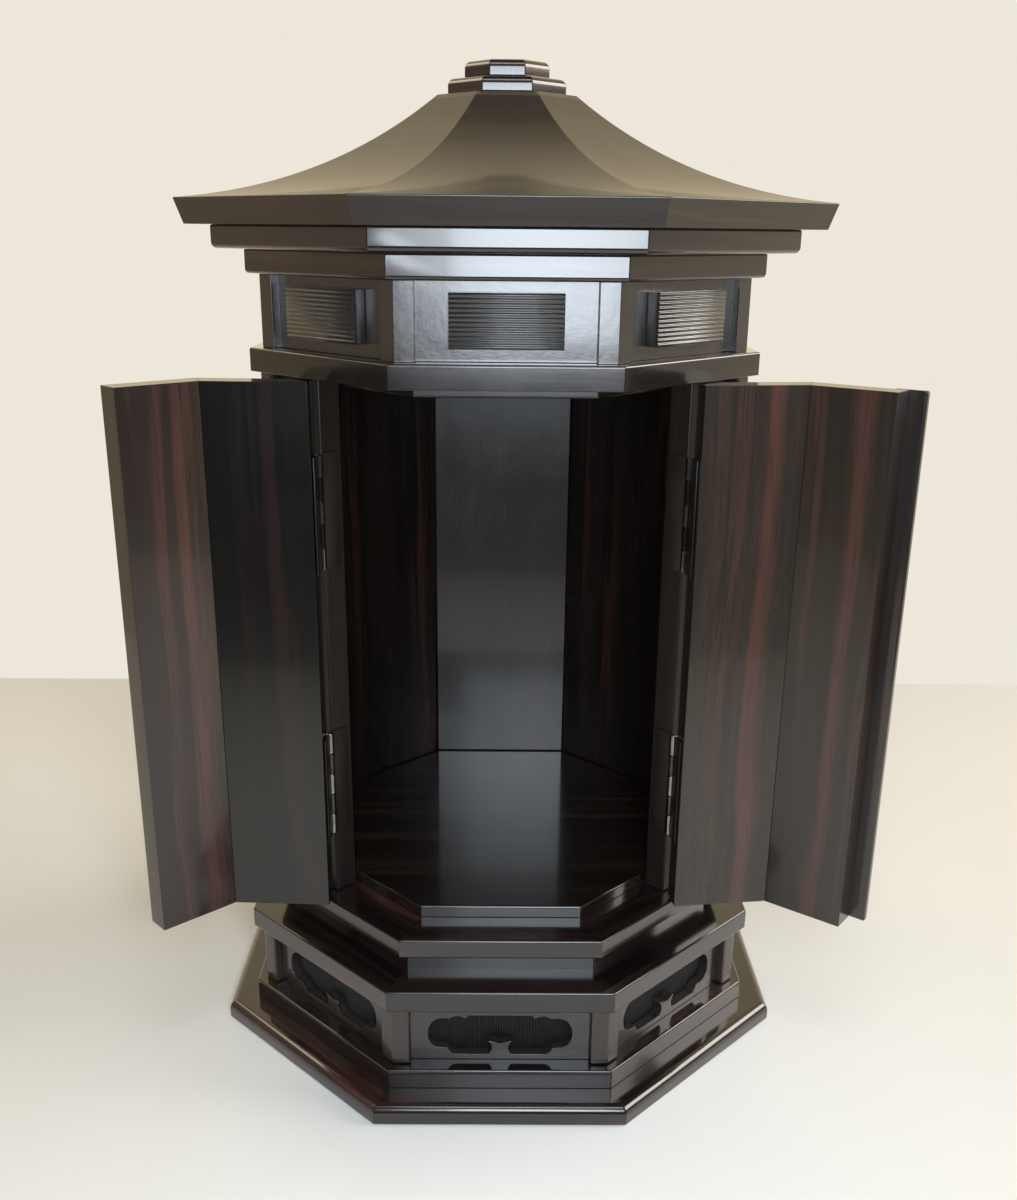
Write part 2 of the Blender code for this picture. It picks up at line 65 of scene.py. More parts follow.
# Sizes that the boxes of the solids don't give
BOARD_EASE = 0.0010
CRISP_EASE = 0.0003
CORNER_EASE = 0.0008
ARRIS_EASE = 0.00022
FINE_EASE = 0.00012
NECK_INSET = 0.0068
SILL_HEIGHT = 0.0095
EAVE_UNDERCUT = 0.0035
EAVE_HEIGHT = 0.010
EAVE_EASE = 0.0007
EAVE_STEPS = 5
ROOF_SAG = 0.0088
ROOF_STEPS = 40
ROOF_CORNER_EASE = 0.0006
NECK_OF_ROOF = 0.030
EAVE_BOARD_ROUND = 0.0025
BASE_PLATE_ROUND = 0.0045
BASE_PLATE_CORNER = 0.0014
FINIAL_ROUND = 0.0031
CAP_ROUND = 0.0018
GAP = 0.0003
SEAT = 0.00026
WALL_REACH = 0.00028
WELD = 0.000002
FLAT_ANGLE = math.radians(1.5)
ARRIS_ANGLE = math.radians(25)
PANEL_THICKNESS = 0.005
CLOUD_SIDE_MARGIN = 0.008
CLOUD_TOP_MARGIN = 0.0075
CLOUD_FOOT_MARGIN = 0.0027
BACKING_THICKNESS = 0.006
REED_PITCH = 0.0012
REED_DEPTH = 0.0006
RIB_COUNT = 12
BLOCK_BACK = 0.0051
BLOCK_WIDTH = 0.0445
RIB_STEPS = 16
RIB_DEPTH_SHARE = 0.24

# The floor's left, right, front and back edges, and how far it lies below the base
FLOOR_EDGES = (-0.8, 0.8, -0.62, 0.44)
FLOOR_DROP = 0.0002

# Refraction of the finishes that shine little
DULL_IOR = 1.32
PLATE_IOR = 1.3

# Doors and hinges
INSIDE_APOTHEM = 0.091
WALL_APOTHEM = 0.1025
DOOR_MEETING_GAP = 0.0010
MITRE_GAP = 0.00004
JAMB_SETBACK = 0.0089
PIN_APOTHEM = 0.1043
HINGE_LEAF = 0.00065
HINGE_ROOM = 2 * (GAP + HINGE_LEAF) + GAP
DOOR_EDGE = -JAMB_SETBACK + HINGE_ROOM
PIN_SETBACK = -JAMB_SETBACK + HINGE_ROOM / 2
HINGE_LENGTH = 0.051
HINGE_LEAF_DEPTH = 0.0085
KNUCKLE_RADIUS = 0.0016
KNUCKLE_COUNT = 5
KNUCKLE_PLAY = 0.0003
KNUCKLE_EASE = 0.00025
STRAP_OVERLAP = 0.0005
STRAP_EASE = 0.0001
SCREW_RADIUS = 0.0019
SCREW_LINE = 0.55
SCREW_PLACES = (0.15, 0.5, 0.85)
SCREW_STEPS = 24
OPENING = {"left": math.radians(137.4), "right": math.radians(142.0)}
HAND = {"left": -1, "right": 1}

# Each door board's dark, brown and red wood, the shift of its figure and its veins. The left hinge board's
# near-black tones are painted shade, darker than its wood's own colour.
DOOR_WOODS_AND_SHADE = {
    ("left", "hinge"): ((0.0020, 0.0016, 0.0012), (0.0040, 0.0030, 0.0025), (0.014, 0.006, 0.005), 0.0,
                        ((0.014, 0.0055, 0.8, 0.040), (0.031, 0.003, 0.3, 0.0))),
    ("left", "meeting"): ((0.016, 0.010, 0.008), (0.036, 0.021, 0.016), (0.072, 0.030, 0.022), 0.31,
                          ((0.015, 0.0055, 0.9, 0.0), (0.027, 0.004, 0.6, 0.0))),
    ("right", "hinge"): ((0.021, 0.015, 0.011), (0.038, 0.0265, 0.019), (0.076, 0.030, 0.022), 0.57,
                         ((0.0315, 0.0060, 1.0, 0.004), (0.021, 0.0020, 0.15, 0.0))),
    ("right", "meeting"): ((0.016, 0.0115, 0.008), (0.028, 0.0195, 0.0135), (0.064, 0.026, 0.019), 0.83,
                           ((0.0295, 0.0070, 1.0, 0.022), (0.012, 0.0025, 0.3, 0.0)))}

# The near light's panes: place across, level, width, height, glow and outline
NEAR_LIGHT_COLOUR = (0.82, 0.91, 1.0)
NEAR_LIGHT_DISTANCE = 0.62
NEAR_LIGHT = {"tall": (0.037, 0.428, 0.15, 0.264, 11.0, "RECTANGLE"),
              "wide": (0.042, 0.418, 0.27, 0.20, 5.0, "ELLIPSE"),
              "core": (0.026, 0.372, 0.24, 0.08, 13.0, "ELLIPSE"),
              "heart": (0.030, 0.369, 0.18, 0.075, 42.0, "ELLIPSE")}

# The camera, fitted to the photograph's view
SENSOR_WIDTH = 36.0
LENS = 36.774
LENS_SHIFT = (0.0040, 0.0482)
EYE = (-0.00405, -0.5901, 0.3814)
HEADING = Vector((0.00855, 0.99996, 0)).normalized()
PITCH = math.radians(19.23)
ROLL = math.radians(0.55)


class Socket:
    """One output of a finish's nodes; arithmetic on it adds Math nodes."""

    def __init__(self, finish, link):
        self.finish = finish
        self.link = link

    def maths(self, operation, *values):
        return self.finish.node("ShaderNodeMath", {"operation": operation}, values)

    def __add__(self, other):
        return self.maths("ADD", self, other)

    def __radd__(self, other):
        return self.maths("ADD", other, self)

    def __sub__(self, other):
        return self.maths("SUBTRACT", self, other)

    def __rsub__(self, other):
        return self.maths("SUBTRACT", other, self)

    def __mul__(self, other):
        return self.maths("MULTIPLY", self, other)

    def parts(self):
        """The three numbers of a vector."""
        return [self.finish.node("ShaderNodeSeparateXYZ", {}, [self], axis) for axis in range(3)]

    def times(self, x, y, z):
        """The vector stretched along each axis."""
        return self.finish.node("ShaderNodeVectorMath", {"operation": "MULTIPLY"}, [self, (x, y, z)])

    def ramp(self, low, high):
        """A smooth step from 0 at low to 1 at high."""
        settings = {"interpolation_type": "SMOOTHSTEP"}
        sockets = {"Value": self, "From Min": low, "From Max": high}
        return self.finish.node("ShaderNodeMapRange", settings, sockets)


class Finish:
    """A procedural material, or the light all round, built on its shader's sockets."""

    def __init__(self, owner, shader):
        self.owner = owner
        owner.use_nodes = True
        self.tree = owner.node_tree
        self.shader = self.tree.nodes[shader]

    def node(self, kind, settings, inputs=(), output=0):
        made = self.tree.nodes.new(kind)
        for key, value in settings.items():
            setattr(made, key, value)
        for key, value in inputs.items() if isinstance(inputs, dict) else enumerate(inputs):
            if isinstance(value, Socket):
                self.tree.links.new(value.link, made.inputs[key])
            else:
                made.inputs[key].default_value = value
        return Socket(self, made.outputs[output])

    def set(self, **sockets):
        for key, value in sockets.items():
            socket = self.shader.inputs[key.replace("_", " ")]
            if isinstance(value, Socket):
                self.tree.links.new(value.link, socket)
            else:
                socket.default_value = value

    def place(self):
        """The point on the piece, in metres."""
        return self.node("ShaderNodeTexCoord", {}, output=3)

    def noise(self, where, scale, detail=2.0, roughness=0.5):
        sockets = {"Vector": where, "Scale": scale, "Detail": detail, "Roughness": roughness}
        return self.node("ShaderNodeTexNoise", {}, sockets)

    def colour(self, share, low, high):
        """One colour where share is 0, the other where it is 1."""
        sides = {0: share}
        for key, value in ((6, low), (7, high)):
            sides[key] = value if isinstance(value, Socket) else (*value, 1)
        return self.node("ShaderNodeMix", {"data_type": "RGBA"}, sides, 2)

    def bump(self, height, distance):
        return self.node("ShaderNodeBump", {}, {"Height": height, "Distance": distance, "Strength": 1.0})


def new_finish(name):
    return Finish(bpy.data.materials.new(name), "Principled BSDF")


def grain_upright(finish):
    """The grain stands upright. Each grain gives its two ways across and then the way along it."""
    return finish.place().parts()


def grain_crosswise(finish):
    """The grain runs from left to right."""
    x, y, z = finish.place().parts()
    return [y, z, x]


def grain_around(finish):
    """The grain follows each side of the octagon and meets in mitres."""
    x, y, z = finish.place().parts()
    turn = x.maths("ARCTAN2", x, 0 - y)
    side = turn.maths("ROUND", turn * (1 / SIDE_ANGLE))
    angle = side * SIDE_ANGLE
    cosine = angle.maths("COSINE", angle)
    sine = angle.maths("SINE", angle)
    return [x * sine - y * cosine, z, x * cosine + y * sine + side * 0.41]


def grain_of_door(word, part):
    """The grain stands upright on an open door, and the first way across starts at the hinge side."""
    hand = HAND[word]
    near = DOOR_EDGE if part == "hinge" else WALL_APOTHEM * EDGE
    start = oblique(hand, WALL_APOTHEM, near)
    end = oblique(hand, WALL_APOTHEM, near + 1) if part == "hinge" else plan(0, WALL_APOTHEM, 0)
    turn = Matrix.Rotation(hand * OPENING[word], 2)
    pin = oblique(hand, PIN_APOTHEM, PIN_SETBACK)
    origin = pin + turn @ (start - pin)
    way = (turn @ (end - start)).normalized()

    def grain(finish):
        x, y, z = finish.place().parts()
        return [(x - origin.x) * way.x + (y - origin.y) * way.y, x * way.y - y * way.x, z]
    return grain


def ebony(name, grain, dark, brown, red, streaks, roughness, polish, shift=0.0, veins=(), ior=1.48):
    """Striped ebony under clear lacquer.

    A vein is a red streak, given by its place across the board, half width, strength and lean.
    """
    finish = new_finish(name)
    across, deep, along = grain(finish)
    where = finish.node("ShaderNodeCombineXYZ", {}, [across + shift, deep, along])
    drift = finish.noise(where, 9.0, 1.0) * 0.011
    bent = finish.node("ShaderNodeCombineXYZ", {}, [across + drift + shift, deep + drift, along])
    broad = finish.noise(bent.times(1, 1, 0.035), 95.0, 2.0, 0.55)
    figure = finish.noise(bent.times(1, 1, 0.022), 330.0, 3.0, 0.6)
    fine = finish.noise(bent.times(1, 1, 0.012), 1500.0, 2.0, 0.6)
    pores = finish.noise(bent.times(1, 1, 0.05), 4200.0, 1.0, 0.5)
    stripe = (broad * 0.62 + figure * 0.38).ramp(0.40, 0.62)
    blush = finish.noise(bent.times(1, 1, 0.03), 60.0, 1.0, 0.5).ramp(0.5, 0.68) * figure.ramp(0.38, 0.6)
    body = finish.colour(stripe * streaks, dark, brown)
    warm = finish.colour(blush * streaks, body, red)
    sway = finish.noise(where.times(0, 0, 1), 11.0, 1.0) * 0.008 - 0.004
    for place, half, strength, lean in veins:
        away = across - place - (along - 0.2) * lean + sway + (broad - 0.5) * 0.012
        streak = away.maths("ABSOLUTE", away).ramp(half, half * 0.15) * figure.ramp(0.1, 0.6)
        warm = finish.colour(streak * strength, warm, red)
    lined = finish.colour((1 - fine.ramp(0.30, 0.52)) * 0.35, warm, tuple(0.45 * c for c in dark))
    opened = finish.colour((1 - pores.ramp(0.26, 0.40)) * 0.3, lined, tuple(0.3 * c for c in dark))
    wave = finish.noise(where, 420.0, 2.0, 0.5)
    haze = finish.noise(where, 38.0, 3.0, 0.6)
    finish.set(Base_Color=opened, Roughness=roughness + (haze - 0.5) * 0.10 + (fine - 0.5) * 0.06)
    finish.set(Coat_Weight=polish, Coat_Roughness=0.075, Coat_IOR=1.5, IOR=ior)
    finish.set(Normal=finish.bump(wave * 0.03 + (pores - 0.5) * 0.01 + fine * 0.012, 0.0004))
    return finish.owner


def black_lacquer(name, colour, roughness, polish, peel, dust, brushed=0.0, ior=1.5):
    """Opaque black lacquer, a little uneven where the brush left it, with specks of dust."""
    finish = new_finish(name)
    where = finish.place()
    wave = finish.noise(where, 260.0, 3.0, 0.55)
    speck = finish.noise(where, 1800.0, 1.0, 0.5)
    haze = finish.noise(where, 45.0, 2.0, 0.5)
    tone = finish.colour(haze.ramp(0.35, 0.7), colour, tuple(1.45 * c for c in colour))
    dusted = finish.colour(speck.ramp(0.66, 0.74) * dust, tone, (0.12, 0.11, 0.10))
    finish.set(Base_Color=dusted, Roughness=roughness + (haze - 0.5) * 0.12)
    finish.set(Coat_Weight=polish, Coat_Roughness=0.1, Coat_IOR=1.5, IOR=ior)
    strokes = finish.noise(where.times(0.12, 0.12, 1), 1700.0, 3.0, 0.65)
    finish.set(Normal=finish.bump(wave * peel + speck * peel * 0.2 + strokes * brushed, 0.0006))
    return finish.owner


def hinge_steel(name, clean, dull, roughness):
    """Steel with fine rubbing marks and a little tarnish."""
    finish = new_finish(name)
    where = finish.place()
    rubbed = finish.noise(where.times(1, 1, 0.06), 5200.0, 2.0, 0.6)
    cloud = finish.noise(where, 240.0, 3.0, 0.6)
    tone = finish.colour(cloud.ramp(0.35, 0.7), clean, dull)
    finish.set(Base_Color=tone, Metallic=1.0, Roughness=roughness + rubbed * 0.08 + (cloud - 0.5) * 0.05)
    finish.set(Normal=finish.bump(rubbed, 0.00003))
    return finish.owner


def plan(side, apothem, along):
    """A point in plan from one side of the octagon: out from the axis, then along the side."""
    angle = -math.pi / 2 + side * SIDE_ANGLE
    outward = Vector((math.cos(angle), math.sin(angle)))
    return outward * apothem + Vector((-outward.y, outward.x)) * along


def oblique(hand, apothem, along):
    """A point on a front oblique side, along it towards the front; hand is -1 left and 1 right."""
    point = plan(FRONT_LEFT, apothem, along)
    return Vector((-hand * point.x, point.y))


def arc(centre, radius, start, end, steps=6):
    angles = [math.radians(start + (end - start) * i / steps) for i in range(steps + 1)]
    return [(centre[0] + radius * math.cos(a), centre[1] + radius * math.sin(a)) for a in angles]


def bow(start, end, rise, steps):
    """Points of a curve that leaves the straight line on its right by a share of its length."""
    across = Vector((end[0] - start[0], end[1] - start[1]))
    right = Vector((across.y, -across.x))
    shares = [i / steps for i in range(steps)]
    return [tuple(Vector(start) + across * s + right * rise * 4 * s * (1 - s)) for s in shares]


def octagon(apothem, ease, steps=4):
    """The outline in plan with its eight corners rounded."""
    points = []
    for corner in range(8):
        middle = -math.pi / 2 + (corner + 0.5) * SIDE_ANGLE
        centre = Vector((math.cos(middle), math.sin(middle))) * (apothem - ease) * CORNER
        for i in range(steps + 1):
            angle = middle + SIDE_ANGLE * (i / steps - 0.5)
            points.append(centre + Vector((math.cos(angle), math.sin(angle))) * ease)
    return points


def settle(mesh, sharp=38):
    """Smooth shading that keeps the true corners."""
    mesh.polygons.foreach_set("use_smooth", [True] * len(mesh.polygons))
    mesh.set_sharp_from_angle(angle=math.radians(sharp))
    mesh.update()


def fit(node, mesh, finish, weighted=True):
    """Put a finished mesh in the place of its solid."""
    mesh.materials.clear()
    mesh.materials.append(finish)
    piece = bpy.data.objects.new(f"finished_{node}", mesh)
    bpy.context.scene.collection.objects.link(piece)
    if weighted:
        even = piece.modifiers.new("even_shading", "WEIGHTED_NORMAL")
        even.keep_sharp = True
        even.weight = 100
    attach(piece, BODY_OF[node])
    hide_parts(node)


def mesh_of(name, cage):
    mesh = bpy.data.meshes.new(name)
    cage.to_mesh(mesh)
    cage.free()
    return mesh


def lofted(name, profile, ease=CORNER_EASE):
    """An eight-sided board through its profile of apothem and height, from the top down."""
    cage = bmesh.new()
    rings = []
    for apothem, height in profile:
        rings.append([cage.verts.new((p.x, p.y, height)) for p in octagon(apothem, min(ease, apothem / 4))])
    count = len(rings[0])
    for upper, lower in zip(rings, rings[1:]):
        for i in range(count):
            j = (i + 1) % count
            cage.faces.new((upper[i], lower[i], lower[j], upper[j]))
    cage.faces.new(rings[0])
    cage.faces.new(reversed(rings[-1]))
    bmesh.ops.recalc_face_normals(cage, faces=cage.faces)
    mesh = mesh_of(name, cage)
    settle(mesh)
    return mesh


def eased_side(apothem, bottom, top, top_round=BOARD_EASE, bottom_round=BOARD_EASE):
    """The side of a board with its upper and lower edges rounded."""
    upper = arc((apothem - top_round, top - top_round), top_round, 90, 0)
    lower = arc((apothem - bottom_round, bottom + bottom_round), bottom_round, 0, -90)
    return upper + lower


def board(node, finish, top_round=BOARD_EASE, bottom_round=BOARD_EASE, ease=CORNER_EASE):
    """A plain eight-sided board; one that rests on a wider one has a crisp foot."""
    low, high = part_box(node)
    bottom = low.z - SEAT if low.z > GAP else low.z
    fit(node, lofted(node, eased_side(high.x, bottom, high.z, top_round, bottom_round), ease), finish)


def sill(node, finish):
    """The sill with its recessed neck below."""
    low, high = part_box(node)
    shoulder = high.z + GAP - SILL_HEIGHT
    neck = [(high.x - NECK_INSET, shoulder), (high.x - NECK_INSET, low.z - SEAT)]
    fit(node, lofted(node, eased_side(high.x, shoulder, high.z) + neck), finish)


def roof(node, finish):
    """Eight hollow faces that meet in soft hips, over an edge that leans in."""
    low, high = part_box(node)
    start = Vector((NECK_OF_ROOF, high.z))
    end = Vector((high.x, low.z + EAVE_HEIGHT))
    curve = bow(start, end, ROOF_SAG / (end - start).length, ROOF_STEPS)
    foot = Vector((high.x - EAVE_UNDERCUT, low.z - SEAT))
    uphill = (Vector(curve[-1]) - end).normalized() * EAVE_EASE
    downhill = (foot - end).normalized() * EAVE_EASE
    shares = [i / EAVE_STEPS for i in range(EAVE_STEPS + 1)]
    lip = [tuple(end + uphill * (1 - share) ** 2 + downhill * share ** 2) for share in shares]
    fit(node, lofted(node, curve + lip + [tuple(foot)], ROOF_CORNER_EASE), finish)


def rounded(node, finish, seat=SEAT, side=None, reach=(0, 0)):
    """A solid with its sharp edges softened and its foot let down on its seat.

    Given a side of the octagon, its two ends along that side reach closer to their neighbours.
    """
    cage = bmesh.new()
    cage.from_mesh(frame["nodes"][node].data)
    if side is not None:
        way = plan(side, 0, 1)
        places = [corner.co.xy.dot(way) for corner in cage.verts]
        middle = (min(places) + max(places)) / 2
        for corner, place in zip(cage.verts, places):
            shift = way * (-reach[0] if place < middle else reach[1])
            corner.co.x += shift.x
            corner.co.y += shift.y
    bmesh.ops.remove_doubles(cage, verts=cage.verts, dist=WELD)
    bmesh.ops.dissolve_limit(cage, angle_limit=FLAT_ANGLE, verts=cage.verts, edges=cage.edges)
    lowest = min(v.co.z for v in cage.verts)
    for corner in cage.verts:
        if corner.co.z < lowest + GAP:
            corner.co.z -= seat
    arrises = [e for e in cage.edges if len(e.link_faces) == 2 and e.calc_face_angle(0) > ARRIS_ANGLE]
    bmesh.ops.bevel(cage, geom=arrises, offset=ARRIS_EASE, offset_type="OFFSET", segments=2, profile=0.5,
                    affect="EDGES", clamp_overlap=True)
    mesh = mesh_of(node, cage)
    settle(mesh, sharp=50)
    fit(node, mesh, finish)


def sawn(name, outlines, thickness, ease=0.0):
    """A flat outline, the further ones its holes, cut from a board with softened edges."""
    curve = bpy.data.curves.new(name, "CURVE")
    curve.dimensions = "2D"
    curve.fill_mode = "BOTH"
    curve.extrude = thickness / 2 - ease
    curve.bevel_depth = ease
    curve.bevel_resolution = 2
    curve.offset = -ease
    for outline in outlines:
        spline = curve.splines.new("POLY")
        spline.points.add(len(outline) - 1)
        spline.use_cyclic_u = True
        for point, (x, y) in zip(spline.points, outline):
            point.co = (x, y, 0, 1)
    source = bpy.data.objects.new(name, curve)
    bpy.context.scene.collection.objects.link(source)
    mesh = bpy.data.meshes.new_from_object(source.evaluated_get(bpy.context.evaluated_depsgraph_get()))
    bpy.data.objects.remove(source)
    bpy.data.curves.remove(curve)
    cage = bmesh.new()
    cage.from_mesh(mesh)
    bmesh.ops.remove_doubles(cage, verts=cage.verts, dist=WELD)
    cage.to_mesh(mesh)
    cage.free()
    mesh.name = name
    return mesh


def cloud_outline(half_width, foot, head, steps=10):
    """The cloud-shaped opening, drawn as its right half and mirrored."""
    corners = [((0.0, 0.28), -0.06), ((0.17, 0.34), 0.22), ((0.16, 0.0), 0.0), ((0.57, 0.0), 0.2),
               ((0.73, 0.17), 0.3), ((1.0, 0.62), 0.26), ((0.71, 0.91), 0.2), ((0.49, 0.92), -0.2),
               ((0.45, 1.0), 0.0), ((0.0, 1.0), 0.0)]
    places = [(x * half_width, foot + y * (head - foot)) for (x, y), rise in corners]
    right = []
    for i in range(len(corners) - 1):
        rise = corners[i][1]
        right += bow(places[i], places[i + 1], rise, steps if rise else 1)
    right.append(places[-1])
    return right + [(-x, y) for x, y in reversed(right[1:-1])]


def plinth_panel(side, finish):
    """A panel of the plinth, pierced on the five sides that are seen."""
    node = f"plinth_panel_{SIDE_NAMES[side]}"
    low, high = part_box(f"plinth_panel_{SIDE_NAMES[0]}")
    half = high.x + SEAT
    bottom, top = low.z - SEAT, high.z
    middle = (bottom + top) / 2
    edges = [(-half, bottom), (half, bottom), (half, top), (-half, top)]
    cloud = cloud_outline(high.x - CLOUD_SIDE_MARGIN, bottom + CLOUD_FOOT_MARGIN, top - CLOUD_TOP_MARGIN)
    mesh = sawn(node, [edges, cloud] if side in PIERCED else [edges], PANEL_THICKNESS, CRISP_EASE)
    centre = plan(side, -low.y - PANEL_THICKNESS / 2, 0)
    turn = Matrix.Rotation(side * SIDE_ANGLE, 4, "Z") @ Matrix.Rotation(math.pi / 2, 4, "X")
    mesh.transform(Matrix.Translation((*centre, 0)) @ turn)
    settle(mesh)
    fit(node, mesh, finish)


def reeded_backing(node, finish):
    """The drum behind the openings, its five seen sides cut into fine upright reeds."""
    low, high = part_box(node)
    outer = high.x
    half = outer * EDGE
    outline = []
    for side in range(8):
        if side not in PIERCED:
            outline.append(tuple(plan(side, outer, -half)))
            continue
        count = int(2 * half / REED_PITCH)
        pitch = 2 * half / count
        for reed in range(count):
            for share, depth in ((0.0, 1.0), (0.25, 0.25), (0.5, 0.0), (0.75, 0.25)):
                along = -half + (reed + share) * pitch
                outline.append(tuple(plan(side, outer - REED_DEPTH * depth, along)))
    inner = outer - BACKING_THICKNESS
    hollow = [tuple(plan(side, inner, inner * EDGE)) for side in range(8)]
    mesh = sawn(node, [outline, hollow], high.z - low.z)
    mesh.transform(Matrix.Translation((0, 0, (low.z + high.z) / 2)))
    settle(mesh, sharp=60)
    fit(node, mesh, finish, weighted=False)


def ribbed_block(side, finish):
    """A block on the frieze, its face worked into level rounded ribs with shallow rounded hollows."""
    node = f"ribbed_block_{SIDE_NAMES[side]}"
    low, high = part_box(f"ribbed_block_{SIDE_NAMES[0]}")
    height = high.z - low.z
    pitch = height / RIB_COUNT
    depth = RIB_DEPTH_SHARE * pitch
    valley = BLOCK_BACK + pitch / 2 - depth
    section = [(0, 0)]
    for step in range(RIB_COUNT * RIB_STEPS + 1):
        turn = 2 * math.pi * step / RIB_STEPS
        section.append((valley + depth * (1 - math.cos(turn)) / 2, pitch * step / RIB_STEPS))
    section.append((0, height))
    mesh = sawn(node, [section], BLOCK_WIDTH, FINE_EASE)
    seat = plan(side, -high.y, 0)
    turn = Matrix.Rotation(side * SIDE_ANGLE - math.pi / 2, 4, "Z") @ Matrix.Rotation(math.pi / 2, 4, "X")
    mesh.transform(Matrix.Translation((*seat, low.z)) @ turn)
    settle(mesh, sharp=60)
    fit(node, mesh, finish, weighted=False)


def add_box(cage, points, bottom, top, ease):
    """A straight block over four points in plan, its edges softened."""
    made = [[cage.verts.new((p.x, p.y, z)) for p in points] for z in (bottom, top)]
    faces = [cage.faces.new(made[0]), cage.faces.new(made[1])]
    for i in range(4):
        j = (i + 1) % 4
        faces.append(cage.faces.new((made[0][i], made[0][j], made[1][j], made[1][i])))
    edges = list({e for face in faces for e in face.edges})
    bmesh.ops.bevel(cage, geom=edges, offset=ease, segments=2, profile=0.5, affect="EDGES")


def add_turned(cage, profile, place, steps=28):
    """A round part through its profile of radius and length along its own axis, set by a matrix."""
    rings = []
    for radius, length in profile:
        angles = [2 * math.pi * i / steps for i in range(steps)]
        rings.append([cage.verts.new(place @ Vector((radius * math.cos(a), radius * math.sin(a), length)))
                      for a in angles])
    for lower, upper in zip(rings, rings[1:]):
        for i in range(steps):
            j = (i + 1) % steps
            cage.faces.new((lower[i], lower[j], upper[j], upper[i]))
    cage.faces.new(rings[0])
    cage.faces.new(rings[-1])


def swing_open(mesh, word):
    """Turn a mesh that was made in the closed position about its hinge pin."""
    pin = oblique(HAND[word], PIN_APOTHEM, PIN_SETBACK)
    swing = Matrix.Translation((*pin, 0)) @ Matrix.Rotation(HAND[word] * OPENING[word], 4, "Z")
    mesh.transform(swing @ Matrix.Translation((-pin.x, -pin.y, 0)))


def door_board(word, part, finish):
    """One of a door's two boards, which meet in a close mitre at the corner of the octagon."""
    node = f"{word}_door_{part}_board"
    hand = HAND[word]
    low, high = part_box(node)
    mitre = MITRE_GAP / 2 * CORNER
    meeting = hand * DOOR_MEETING_GAP / 2
    outline = []
    for apothem in (INSIDE_APOTHEM, WALL_APOTHEM):
        corner = apothem * EDGE - mitre
        if part == "hinge":
            ends = [oblique(hand, apothem, DOOR_EDGE), oblique(hand, apothem, corner)]
        else:
            ends = [plan(0, apothem, meeting), plan(0, apothem, hand * corner)]
        outline += ends if apothem == INSIDE_APOTHEM else reversed(ends)
    cage = bmesh.new()
    add_box(cage, outline, low.z, high.z, ARRIS_EASE)
    bmesh.ops.recalc_face_normals(cage, faces=cage.faces)
    mesh = mesh_of(node, cage)
    swing_open(mesh, word)
    settle(mesh, sharp=50)
    fit(node, mesh, finish)


def hinge_leaf(word, level, on_door, finish, bright):
    """One leaf of a butt hinge: its dark plate, its bright knuckles and three screw heads."""
    node = f"{word}_{level}_hinge_{'door' if on_door else 'frame'}_leaf"
    hand = HAND[word]
    low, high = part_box(node)
    middle = (low.z + high.z) / 2
    foot = middle - HINGE_LENGTH / 2
    pitch = HINGE_LENGTH / KNUCKLE_COUNT
    rows = range(1 if on_door else 0, KNUCKLE_COUNT, 2)
    face = DOOR_EDGE - GAP if on_door else -JAMB_SETBACK + GAP
    inner = face - HINGE_LEAF if on_door else face + HINGE_LEAF
    pin = oblique(hand, PIN_APOTHEM, PIN_SETBACK)
    cage = bmesh.new()
    plate_back = WALL_APOTHEM - HINGE_LEAF_DEPTH
    plate_edge = PIN_APOTHEM - KNUCKLE_RADIUS - KNUCKLE_PLAY
    plate = [oblique(hand, plate_back, face), oblique(hand, plate_edge, face),
             oblique(hand, plate_edge, inner), oblique(hand, plate_back, inner)]
    add_box(cage, plate, foot, foot + HINGE_LENGTH, FINE_EASE)
    for row in rows:
        bottom = foot + row * pitch + KNUCKLE_PLAY / 2
        top = bottom + pitch - KNUCKLE_PLAY
        strap = [oblique(hand, plate_edge - STRAP_OVERLAP, face), oblique(hand, PIN_APOTHEM, face),
                 oblique(hand, PIN_APOTHEM, inner), oblique(hand, plate_edge - STRAP_OVERLAP, inner)]
        add_box(cage, strap, bottom, top, STRAP_EASE)
        barrel = [(KNUCKLE_RADIUS - KNUCKLE_EASE, bottom), (KNUCKLE_RADIUS, bottom + KNUCKLE_EASE),
                  (KNUCKLE_RADIUS, top - KNUCKLE_EASE), (KNUCKLE_RADIUS - KNUCKLE_EASE, top)]
        add_turned(cage, barrel, Matrix.Translation((*pin, 0)))
    lift = -1 if on_door else 1
    line = oblique(hand, WALL_APOTHEM - HINGE_LEAF_DEPTH * SCREW_LINE, inner)
    outward = (oblique(hand, WALL_APOTHEM, inner + lift) - oblique(hand, WALL_APOTHEM, inner)).normalized()
    facing = Vector((*outward, 0)).to_track_quat("Z", "Y").to_matrix().to_4x4()
    for share in SCREW_PLACES:
        seat = Matrix.Translation((*line, foot + HINGE_LENGTH * share)) @ facing
        head = [(SCREW_RADIUS, -0.0002), (SCREW_RADIUS, 0.00002), (SCREW_RADIUS * 0.92, 0.00006),
                (SCREW_RADIUS * 0.35, 0.00008)]
        add_turned(cage, head, seat, SCREW_STEPS)
    bmesh.ops.recalc_face_normals(cage, faces=cage.faces)
    mesh = mesh_of(node, cage)
    bright_faces = []
    for polygon in mesh.polygons:
        reach = max((mesh.vertices[i].co.xy - pin).length for i in polygon.vertices)
        bright_faces.append(int(reach < KNUCKLE_RADIUS + GAP / 2))
    if on_door:
        swing_open(mesh, word)
    settle(mesh, sharp=40)
    fit(node, mesh, finish, weighted=False)
    mesh.materials.append(bright)
    mesh.polygons.foreach_set("material_index", bright_faces)


